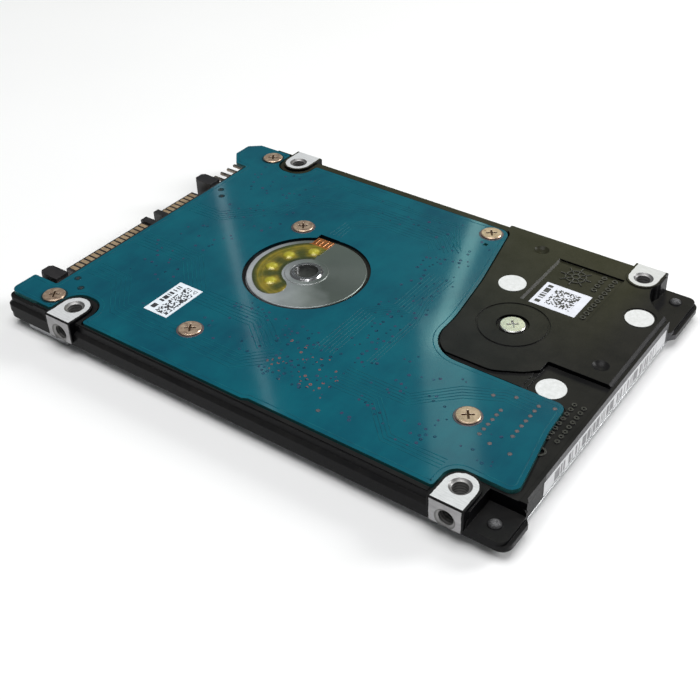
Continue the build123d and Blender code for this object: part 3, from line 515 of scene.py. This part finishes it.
def cover_label_look():
    """Silver film with plain ruled boxes, a bar field and a dot field."""
    low, high = (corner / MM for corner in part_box("cover_label"))
    look = Look("cover_label", (0.72, 0.73, 0.74), 0.35, 0.3)
    bar = look.white(look.point(look.math("FLOOR", look.math("DIVIDE", look.x, 0.28)), 0.0, 0.0))
    dot_at = look.vector("FLOOR", look.vector("SCALE", look.mm, Scale=1 / 0.45))
    dot = look.white(look.vector("MULTIPLY", dot_at, (1.0, 1.0, 0.0)))
    ink = look.both(look.over(bar, 0.5), look.box(low.x + 4, low.x + 30, low.y + 5, low.y + 10))
    dot_field = look.box(high.x - 14, high.x - 5, low.y + 4, low.y + 13)
    ink = look.either(ink, look.both(look.over(dot, 0.5), dot_field))
    across = look.math("FRACT", look.math("DIVIDE", look.y, 4.0))
    rule = look.both(look.under(across, 0.04), look.box(low.x + 4, high.x - 4, low.y + 17, high.y - 5))
    ink = look.either(ink, rule)
    film = look.mix(look.fit(look.noise(0.5, 3), 0.35, 0.65), (0.66, 0.67, 0.68), (0.76, 0.77, 0.78))
    look.colour(look.mix(ink, film, (0.04, 0.04, 0.045)))
    look.bump(look.noise(1.0, 3), 0.01, 0.4)
    return look.material


def fibre_look():
    """White non-woven cloth."""
    look = Look("filter_cloth", (0.85, 0.85, 0.83), 0.9)
    strands = look.cells(5.0, "DISTANCE_TO_EDGE")
    look.colour(look.mix(look.fit(strands, 0.0, 0.2), (0.90, 0.90, 0.88), (0.74, 0.74, 0.71)))
    look.bump(strands, 0.05, 0.7)
    return look.material


def disc_look():
    """The mirror of the disc, with the faintest turned rings."""
    look = Look("disc_mirror", (0.80, 0.80, 0.82), 0.04, 1.0)
    far = look.radius(SPINDLE)
    rings = look.noise(9.0, 2, 0.6, at=look.point(far, 0.0, 0.0))
    look.colour(look.mix(look.fit(rings, 0.3, 0.7), (0.76, 0.76, 0.78), (0.84, 0.84, 0.85)))
    look.rough(look.fit(rings, 0.3, 0.7, 0.03, 0.07))
    look.bump(rings, 0.0008, 0.3)
    return look.material


def paint_nodes():
    """Gives every CAD node its finish, by the record's material slot."""
    by_slot = {
        "black_casting": casting_look(),
        "stamped_cover": cover_look(),
        "gasket_rubber": plastic_look("gasket_rubber", (0.012, 0.012, 0.012), (0.03, 0.03, 0.03), 0.8),
        "steel_screw": metal_look("steel_screw", (0.50, 0.50, 0.48),
                                  (0.80, 0.80, 0.77), 0.3, scale=3.0, bevel=0.1),
        "gold_screw": gold_screw_look(),
        "label_silver": cover_label_look(),
        "foil": foil_look(),
        "circuit_board": board_look(),
        "chip_plastic": plastic_look("chip_plastic", (0.012, 0.012, 0.013), (0.026, 0.026, 0.027), 0.5),
        "passive_ceramic": plastic_look("passive_ceramic", (0.20, 0.13, 0.08), (0.42, 0.33, 0.22), 0.4),
        "thermal_foam": plastic_look("thermal_foam", (0.30, 0.34, 0.42),
                                     (0.44, 0.48, 0.56), 0.85, 2.0, 0.04),
        "connector_plastic": plastic_look("connector_plastic", (0.010, 0.009, 0.010),
                                          (0.022, 0.020, 0.021), 0.38),
        "gold_contact": metal_look("gold_contact", (0.30, 0.21, 0.12),
                                   (0.66, 0.49, 0.31), 0.34, (1, 6, 1), 3.0, metallic=0.5),
        "motor_aluminium": motor_look(),
        "polyimide_flex": flex_look(),
        "lamination_steel": metal_look("lamination_steel", (0.16, 0.16, 0.17),
                                       (0.32, 0.32, 0.33), 0.4, (1, 1, 14)),
        "copper_wire": metal_look("copper_wire", (0.52, 0.19, 0.07),
                                  (0.86, 0.42, 0.20), 0.25, (1, 1, 9), 2.5, 0.04),
        "bearing_steel": metal_look("bearing_steel", (0.45, 0.45, 0.46),
                                    (0.68, 0.68, 0.69), 0.18, (1, 1, 8)),
        "magnet": metal_look("magnet", (0.40, 0.41, 0.42), (0.62, 0.63, 0.65), 0.22),
        "disc_mirror": disc_look(),
        "arm_aluminium": metal_look("arm_aluminium", (0.52, 0.53, 0.54),
                                    (0.78, 0.79, 0.80), 0.28, (1, 5, 1)),
        "spring_steel": metal_look("spring_steel", (0.46, 0.46, 0.46),
                                   (0.72, 0.72, 0.71), 0.22, (4, 1, 1)),
        "slider_ceramic": plastic_look("slider_ceramic", (0.03, 0.03, 0.035), (0.06, 0.06, 0.065), 0.3),
        "white_plastic": plastic_look("white_plastic", (0.66, 0.65, 0.60), (0.80, 0.79, 0.74), 0.4),
        "yoke_steel": metal_look("yoke_steel", (0.42, 0.43, 0.44), (0.66, 0.67, 0.68), 0.3, (1, 3, 1)),
        "filter_cloth": fibre_look(),
    }
    board_low, board_high = (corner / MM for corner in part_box("board_label"))
    base_low, base_high = (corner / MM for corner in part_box("base_label"))
    end_low, end_high = (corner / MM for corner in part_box("end_label"))
    code = [(board_low.x + 2.0, board_high.x - 0.5, board_low.y + 0.5, board_high.y - 0.6),
            (board_low.x + 0.5, board_low.x + 1.5, board_low.y + 1.0, board_high.y - 1.0)]
    board_label = label_look("board_label", (0.80, 0.86, 0.92), 0.25, code)
    code = [(base_low.x + 2.4, base_high.x - 1.5, base_low.y + 1.2, base_high.y - 1.0),
            (base_low.x + 0.6, base_low.x + 1.6, base_low.y + 0.6, base_high.y - 0.6)]
    base_label = label_look("base_label", (0.78, 0.80, 0.88), 0.28, code)
    code = [(end_low.y + 3.0, end_high.y - 4.0, end_low.z + 0.25, end_high.z - 0.45)]
    end_label = label_look("end_label", (0.66, 0.665, 0.68), 0.28, code, bars=True)
    # Painted shade: the thrust plate at the bottom of the bearing's recess is painted near black.
    well = metal_look("bearing_well", (0.020, 0.022, 0.020), (0.05, 0.052, 0.048), 0.35, metallic=0.3)
    pins = metal_look("jumper_pin", (0.10, 0.085, 0.07), (0.34, 0.29, 0.24), 0.3, (6, 1, 1), bevel=0.12)
    own = {"jumper_pins": pins, "board_label": board_label, "base_label": base_label,
           "end_label": end_label, "thrust_plate": well}
    for part in frame["record"]["subparts"]:
        obj = nodes[part["node"]]
        material = own.get(part["node"]) or by_slot[part["material_slot"]]
        obj.data.materials.clear()
        obj.data.materials.append(material)
    return by_slot


# ---------------------------------------------------------------- pieces
def new_piece(name, mesh, material, body="chassis"):
    """A finished mesh, in millimetres, as a piece that rides on a body."""
    data = bpy.data.meshes.new(name)
    bmesh.ops.scale(mesh, vec=(MM, MM, MM), verts=mesh.verts)
    bmesh.ops.recalc_face_normals(mesh, faces=mesh.faces)
    mesh.to_mesh(data)
    mesh.free()
    obj = bpy.data.objects.new(name, data)
    bpy.context.scene.collection.objects.link(obj)
    data.materials.append(material)
    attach(obj, body)
    return obj


def ring_profile(inner, outer, foot, surface, height):
    """The profile of a raised ring with a sloped outer side; foot is its radius at the surface."""
    low = surface - SUNK
    high = surface + height
    return [(inner, low), (inner, high), (outer, high), (foot, low)]


def turned(mesh, centre, profile, steps=20):
    """A closed ring swept round an upright axis from (radius, height) points."""
    rows = []
    for step in range(steps):
        angle = 2 * pi * step / steps
        rows.append([
            mesh.verts.new((centre[0] + r * cos(angle), centre[1] + r * sin(angle), h)) for r, h in profile
        ])
    count = len(profile)
    for step in range(steps):
        here, there = rows[step], rows[(step + 1) % steps]
        for i in range(count):
            j = (i + 1) % count
            mesh.faces.new((here[i], there[i], there[j], here[j]))


def domed(mesh, centre, radius, low, high, steps=16):
    """A low button with a rounded shoulder."""
    levels = [(radius, low), (radius, low + 0.6 * (high - low)), (radius * 0.86, high), (radius * 0.3, high)]
    angles = [2 * pi * i / steps for i in range(steps)]
    rows = []
    for r, h in levels:
        rows.append([mesh.verts.new((centre[0] + r * cos(a), centre[1] + r * sin(a), h)) for a in angles])
    for lower, upper in zip(rows, rows[1:]):
        for i in range(steps):
            j = (i + 1) % steps
            mesh.faces.new((lower[i], lower[j], upper[j], upper[i]))
    mesh.faces.new(rows[-1])
    mesh.faces.new(rows[0][::-1])


def ribbon(mesh, points, width, low, high):
    """A track with sloped sides along a polyline."""
    rows = []
    for i, point in enumerate(points):
        before = points[max(i - 1, 0)]
        after = points[min(i + 1, len(points) - 1)]
        way = Vector((after[0] - before[0], after[1] - before[1])).normalized()
        side = Vector((-way.y, way.x))
        row = []
        for offset, height in ((-0.5, low), (-0.32, high), (0.32, high), (0.5, low)):
            x = point[0] + side.x * offset * width
            y = point[1] + side.y * offset * width
            row.append(mesh.verts.new((x, y, height)))
        rows.append(row)
    for here, there in zip(rows, rows[1:]):
        for i in range(4):
            j = (i + 1) % 4
            mesh.faces.new((here[i], there[i], there[j], here[j]))
    mesh.faces.new(rows[0])
    mesh.faces.new(rows[-1][::-1])


def board_tracks(material):
    """Bundles of tracks under the mask, with 45 degree turns."""
    mesh = bmesh.new()
    low, high = BOARD_TOP - SUNK, BOARD_TOP + 0.022
    bundles = [
        ([(-42.5, -20.0), (-36.0, -20.0), (-30.0, -26.5), (-4.0, -26.5), (0.5, -22.0)], 0.9, 5),
        ([(-42.5, -8.0), (-30.0, -8.0), (-22.0, -16.0), (-8.0, -16.0), (-2.0, -20.5)], 0.8, 6),
        ([(-42.5, 6.0), (-36.0, 6.0), (-28.0, 14.0), (-26.0, 20.0), (-12.0, 24.0), (4.0, 24.0), (8.0, 20.0)],
         0.8, 5),
        ([(12.0, -22.0), (20.0, -22.0), (26.0, -28.0), (36.0, -28.0)], 0.7, 4),
        ([(12.0, -19.0), (24.0, -19.0), (30.0, -13.0), (36.0, -10.0), (41.0, -10.0)], 0.7, 5),
        ([(6.0, -16.5), (6.0, -4.0), (10.0, 0.0), (10.0, 12.0)], 0.7, 6),
        ([(14.0, -15.0), (14.0, -2.0), (12.5, 4.0), (12.5, 12.0)], 0.6, 3),
        ([(8.0, 21.5), (4.0, 28.0), (-12.0, 28.0), (-24.0, 28.0), (-30.0, 22.0)], 0.6, 3),
        ([(-13.2, 12.5), (-13.2, 17.0), (-8.0, 21.0), (3.0, 21.0), (5.0, 19.0)], 0.8, 4),
    ]
    for path, pitch, count in bundles:
        for i in range(count):
            shift = (i - (count - 1) / 2) * pitch
            points = []
            for n, point in enumerate(path):
                before = path[max(n - 1, 0)]
                after = path[min(n + 1, len(path) - 1)]
                way = Vector((after[0] - before[0], after[1] - before[1])).normalized()
                points.append((point[0] - way.y * shift, point[1] + way.x * shift))
            ribbon(mesh, points, 0.2, low, high)
    return new_piece("board_tracks", mesh, material)


def outline_track(material):
    """The guard track that follows the board's edge, a little inside it."""
    mesh = bmesh.new()
    mesh.from_mesh(nodes["circuit_board"].data)
    bmesh.ops.remove_doubles(mesh, verts=mesh.verts, dist=1e-6)
    top = {face for face in mesh.faces if face.normal.z > 0.9}
    follow = {}
    for face in top:
        for loop in face.loops:
            if not any(other in top for other in loop.edge.link_faces if other is not face):
                follow[loop.vert] = loop.link_loop_next.vert
    loops = []
    while follow:
        start = next(iter(follow))
        ring = [start]
        step = follow.pop(start)
        while step in follow:
            ring.append(step)
            step = follow.pop(step)
        loops.append([(v.co.x / MM, v.co.y / MM) for v in ring])
    mesh.free()
    ring = max(loops, key=len_of)
    inside = inset(ring, 0.75)
    track = bmesh.new()
    ribbon(track, inside + inside[:1], 0.22, BOARD_TOP - SUNK, BOARD_TOP + 0.02)
    return new_piece("board_guard_track", track, material)


def len_of(ring):
    """Length of a closed line of points."""
    return sum((Vector(a) - Vector(b)).length for a, b in zip(ring, ring[1:] + ring[:1]))


def inset(ring, amount):
    """A closed anticlockwise line moved inwards, without the points that crowd together."""
    points = []
    for i, point in enumerate(ring):
        before = Vector(point) - Vector(ring[i - 1])
        after = Vector(ring[(i + 1) % len(ring)]) - Vector(point)
        if before.length < 1e-6 or after.length < 1e-6:
            continue
        normals = [Vector((-way.y, way.x)).normalized() for way in (before, after)]
        middle = normals[0] + normals[1]
        if middle.length < 0.5:
            continue
        shift = middle * (amount / (1 + normals[0].dot(normals[1])))
        if shift.length > 2 * amount:
            shift = shift.normalized() * 2 * amount
        spot = Vector(point) + shift
        if not points or (spot - points[-1]).length > 0.12:
            points.append(spot)
    return [(p.x, p.y) for p in points]


def board_vias(material):
    """Covered vias, thick under the controller and loose elsewhere."""
    rng = random.Random(SEED)
    mesh = bmesh.new()
    spots = []
    clusters = [
        ((6.5, -23.0), (6.5, 3.6), 120), ((3.0, -17.0), (6.0, 2.0), 60), ((-24.0, -20.5), (4.5, 4.0), 8),
        ((9.0, 17.0), (4.0, 5.0), 40), ((10.0, 0.0), (4.0, 12.0), 60), ((-31.0, 14.0), (7.0, 8.0), 36),
        ((0.0, 26.0), (14.0, 3.5), 30), ((24.0, -22.0), (7.0, 6.0), 40), ((-34.0, -8.0), (6.0, 10.0), 34),
        ((-6.0, -13.5), (9.0, 2.0), 24), ((-34.0, 22.0), (7.0, 5.0), 22), ((12.0, -8.0), (3.5, 9.0), 30),
        ((36.0, -22.0), (7.0, 4.0), 16), ((-8.0, -19.0), (8.0, 5.0), 22), ((24.0, -12.0), (6.0, 3.0), 10),
    ]
    screws = [Vector((c.x, c.y)) for c in islands("board_screws")]
    label = centre_of("board_label")
    for (x, y), (spread_x, spread_y), count in clusters:
        for _ in range(count):
            spot = Vector((x + rng.uniform(-1, 1) * spread_x, y + rng.uniform(-1, 1) * spread_y))
            near = min((spot - other).length for other in spots) if spots else 9.0
            clear = all((spot - screw).length > 3.2 for screw in screws)
            clear = clear and (abs(spot.x - label.x) > 3.2 or abs(spot.y - label.y) > 5.2)
            clear = clear and (spot - Vector((SPINDLE.x, SPINDLE.y))).length > 12.8
            if near > 0.7 and clear:
                spots.append(spot)
    for spot in spots:
        size = rng.uniform(0.14, 0.30)
        heights = ((0.45, -SUNK), (0.45, 0.012), (0.7, 0.03), (1.0, 0.015), (1.1, -SUNK))
        profile = [(size * share, BOARD_TOP + rise) for share, rise in heights]
        turned(mesh, spot, profile, 12)
    return new_piece("board_vias", mesh, material)


def board_pads(material):
    """Test pads, and the annular pads that the screw heads press on."""
    mesh = bmesh.new()
    rows = [(37.0, -13.4 - 1.27 * i) for i in range(6)]
    rows += [(41.3, -9.4 - 1.35 * i) for i in range(7)]
    rows += [(37.5, -9.5), (34.3, -11.0), (39.3, -20.7), (42.8, -21.0), (14.2, -28.8), (43.6, -8.6)]
    for spot in rows:
        domed(mesh, spot, 0.36, BOARD_TOP - SUNK, BOARD_TOP + 0.035)
    for spot in RING_PADS:
        profile = ring_profile(0.35, 0.62, 0.66, BOARD_TOP, 0.02)
        turned(mesh, spot, profile, 20)
    for centre in islands("board_screws"):
        profile = ring_profile(1.8, 2.28, 2.34, BOARD_TOP, 0.03)
        turned(mesh, centre, profile, 48)
    return new_piece("board_pads", mesh, material)


def pad_look():
    """Tinned and gold pads, part covered by the mask's edge."""
    look = Look("board_pad", (0.5, 0.36, 0.24), 0.4, 0.5)
    tone = look.white(look.vector("FLOOR", look.vector("SCALE", look.mm, Scale=0.7)))
    grey = look.mix(tone, (0.05, 0.10, 0.14), (0.15, 0.12, 0.15))
    grey = look.mix(look.fit(look.noise(5, 3), 0.35, 0.65), grey, (0.22, 0.16, 0.15))
    edge, rounded = look.edges(0.14)
    grey = look.mix(look.math("MULTIPLY", edge, 0.85), grey, (0.008, 0.018, 0.04))
    # The rings by the connector are under the mask.
    look.colour(look.mix(look.under(look.x, CONTACT_X), grey, (0.004, 0.045, 0.06)))
    look.bump(look.noise(7, 3), 0.012, 0.5, rounded)
    return look.material


def hole_plugs(material):
    """The dark drilled middles of the rings by the connector."""
    mesh = bmesh.new()
    for spot in RING_PADS:
        domed(mesh, spot, 0.33, BOARD_TOP - SUNK, BOARD_TOP + 0.006)
    return new_piece("board_drill_marks", mesh, material)


def flex_pads(material):
    """Copper fingers where the motor flex meets the board."""
    mesh = bmesh.new()
    top = PLATE_TOP + 0.08
    for i in range(4):
        x = -14.8 + 0.9 * i
        ribbon(mesh, [(x, 8.3), (x, 9.0), (x, 9.7), (x, 10.2)], 0.55, top - 0.01, top + 0.05)
    return new_piece("flex_pads", mesh, material)


def cast_marks(material):
    """Generic tool marks on the casting: a wheel with spokes, and columns of small pits."""
    mesh = bmesh.new()
    for inner, outer in ((0.55, 0.85), (1.7, 1.95)):
        turned(mesh, WHEEL, ring_profile(inner, outer, outer, RECESS_Z, MARK_H), 32)
    for i in range(8):
        angle = 2 * pi * i / 8
        points = [(WHEEL[0] + r * cos(angle), WHEEL[1] + r * sin(angle)) for r in (0.9, 1.6, 2.9)]
        ribbon(mesh, points, 0.28, RECESS_Z - SUNK, RECESS_Z + MARK_H)
    for x, count in ((34.6, 4), (36.6, 10)):
        for i in range(count):
            y = 27.6 - 1.4 * i
            turned(mesh, (x, y), ring_profile(0.28, 0.52, 0.52, RECESS_Z, MARK_H), 14)
    for i in range(8):
        for x in (45.4, 47.0):
            turned(mesh, (x, -5.6 - 1.25 * i), ring_profile(0.2, 0.42, 0.42, SHELF_Z, MARK_H), 14)
    turned(mesh, (45.9, -17.6), ring_profile(0.65, 0.95, 1.0, SHELF_Z, MARK_H), 28)
    return new_piece("cast_marks", mesh, material)


def mark_look():
    """Raised marks of the casting, their edges painted a little bright as a painted highlight."""
    look = Look("casting_marks", (0.03, 0.03, 0.03), 0.35)
    edge, rounded = look.edges(0.06)
    # Painted highlight: the edges of the marks are painted lighter.
    look.colour(look.mix(edge, (0.020, 0.020, 0.018), (0.16, 0.16, 0.15)))
    look.bump(look.noise(5, 3), 0.015, 0.6, rounded)
    return look.material


# ---------------------------------------------------------------- floor, light and camera
CAMERA_TARGET = Vector((6.23, 1.31, 3.5)) * MM
CAMERA_AZIMUTH = radians(34.58)
CAMERA_ELEVATION = radians(35.92)
CAMERA_ROLL = radians(0.45)
CAMERA_DISTANCE = 193.6 * MM
CAMERA_LENS = 57.38
CAMERA_SHIFT = (-0.053, -0.0536)


def add_camera():
    """The photograph's angle: from the far end's near corner, looking down."""
    data = bpy.data.cameras.new("camera")
    data.lens = CAMERA_LENS
    data.sensor_width = 36
    data.shift_x, data.shift_y = CAMERA_SHIFT
    data.clip_start = 0.005
    back = Vector((
        sin(CAMERA_AZIMUTH) * cos(CAMERA_ELEVATION),
        -cos(CAMERA_AZIMUTH) * cos(CAMERA_ELEVATION),
        sin(CAMERA_ELEVATION),
    ))
    camera = bpy.data.objects.new("camera", data)
    bpy.context.scene.collection.objects.link(camera)
    turn = back.to_track_quat("Z", "Y").to_matrix().to_4x4()
    camera.matrix_world = Matrix.Translation(CAMERA_TARGET + back * CAMERA_DISTANCE) @ turn
    camera.matrix_world = camera.matrix_world @ Matrix.Rotation(-CAMERA_ROLL, 4, "Z")
    bpy.context.scene.camera = camera
    bpy.context.view_layer.update()


def add_floor():
    """A plain pale floor."""
    mesh = bmesh.new()
    bmesh.ops.create_grid(mesh, x_segments=8, y_segments=8, size=FLOOR_SIZE)
    data = bpy.data.meshes.new("floor")
    mesh.to_mesh(data)
    mesh.free()
    floor = bpy.data.objects.new("floor", data)
    floor.location.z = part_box("cover_label")[0].z
    bpy.context.scene.collection.objects.link(floor)
    look = Look("floor", (0.93, 0.93, 0.93), 0.7)
    look.colour(look.mix(look.noise(0.02, 2), (0.92, 0.92, 0.92), (0.95, 0.95, 0.95)))
    data.materials.append(look.material)


def area_light(name, place, aim, size, power, colour=(1, 1, 1), along=None):
    """A soft rectangular lamp at a place, in metres, turned towards a point."""
    data = bpy.data.lights.new(name, "AREA")
    data.shape = "RECTANGLE"
    data.size, data.size_y = size
    data.energy = power
    data.color = colour
    lamp = bpy.data.objects.new(name, data)
    bpy.context.scene.collection.objects.link(lamp)
    back = (Vector(place) - Vector(aim)).normalized()
    if along is None:
        along = Vector((0, 0, 1)).cross(back) if abs(back.z) < 0.99 else Vector((1, 0, 0))
    up = back.cross(along).normalized()
    across = up.cross(back)
    lamp.matrix_world = Matrix.Translation(place) @ Matrix((across, up, back)).transposed().to_4x4()
    return lamp


def streak_light(name, start, end, width, power, colour=(1, 1, 1)):
    """A strip lamp whose reflection in the board runs between two points, in millimetres."""
    eye = bpy.context.scene.camera.location
    level = BOARD_TOP * MM
    below = Vector((eye.x, eye.y, 2 * level - eye.z))
    ends = []
    for x, y in (start, end):
        spot = Vector((x * MM, y * MM, level))
        ends.append(spot + (spot - below) * 3.0)
    along = ends[1] - ends[0]
    middle = (ends[0] + ends[1]) / 2
    aim = Vector(((start[0] + end[0]) / 2, (start[1] + end[1]) / 2, BOARD_TOP)) * MM
    area_light(name, middle, aim, (along.length, width), power, colour, along)


def add_light():
    """Soft studio light: panels above, beside and below, strips for the board's sheen, and a dim surround."""
    world = bpy.data.worlds.new("studio")
    bpy.context.scene.world = world
    world.use_nodes = True
    background = world.node_tree.nodes["Background"]
    background.inputs["Color"].default_value = (0.94, 0.97, 1.0, 1)
    background.inputs["Strength"].default_value = 0.12
    area_light("overhead", (0.02, -0.10, 0.70), (0, 0, 0), (0.55, 0.55), 4.6)
    area_light("side", (0.46, 0.50, 0.36), (0, 0, 0), (0.26, 0.26), 3.2)
    # Below the floor: it lights the cover where the floor isn't shown.
    area_light("under", (0.0, 0.0, -0.35), (0, 0, 0), (0.5, 0.5), 0.8)
    streak_light("strip_left", (-43.0, 14.0), (3.0, -28.0), 0.006, 0.010, (0.85, 0.97, 1.0))
    streak_light("strip_right", (5.0, 36.0), (17.0, 3.0), 0.010, 0.020, (0.60, 1.0, 0.90))
    streak_light("strip_low", (22.0, -5.0), (38.0, -28.0), 0.030, 0.020, (0.65, 1.0, 0.90))
    streak_light("warm_card", (20.0, 34.0), (46.0, 20.0), 0.16, 0.12, (1.0, 0.97, 0.62))


looks = paint_nodes()
tracks_look = mask_line_look()
board_tracks(tracks_look)
outline_track(tracks_look)
board_vias(via_look())
board_pads(pad_look())
hole_plugs(looks["chip_plastic"])
flex_pads(looks["copper_wire"])
cast_marks(mark_look())
bpy.context.scene.view_settings.view_transform = "Standard"
add_camera()
add_floor()
add_light()
